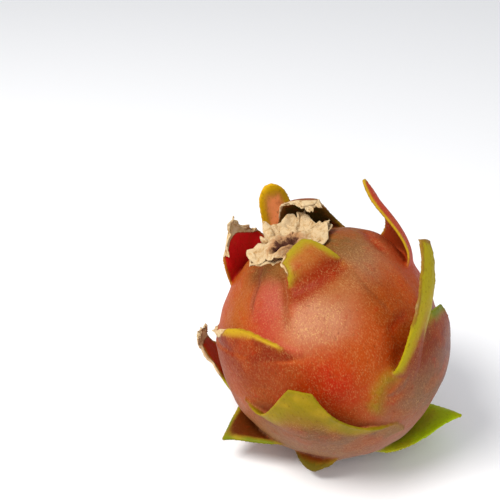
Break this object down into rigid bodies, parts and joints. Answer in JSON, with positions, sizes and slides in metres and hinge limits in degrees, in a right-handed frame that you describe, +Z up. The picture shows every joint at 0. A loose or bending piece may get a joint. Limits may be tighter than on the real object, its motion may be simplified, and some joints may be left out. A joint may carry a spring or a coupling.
{
  "type": "dragon fruit",
  "caption": "Whole dragon fruit lying on its side of the stem end: round body, leafy scales that peel off it, and a dried flower in the navel.",
  "frame": {"origin": "middle of the small flat spot that the fruit lies on, on the surface under it", "axes": "+Z up from the surface it lies on, -Y towards the viewer of the picture, +X to the viewer's right; the navel points up and to the left"},
  "size_m": [0.1092, 0.1059, 0.1049],
  "materials": {
    "skin": "waxy orange-red skin, yellow-green along the scales",
    "dried_flower": "dry, crumpled and papery"
  },
  "bodies": {
    "root": {"fruit": "skin", "dried_flower": "dried_flower"}
  },
  "joints": []
}
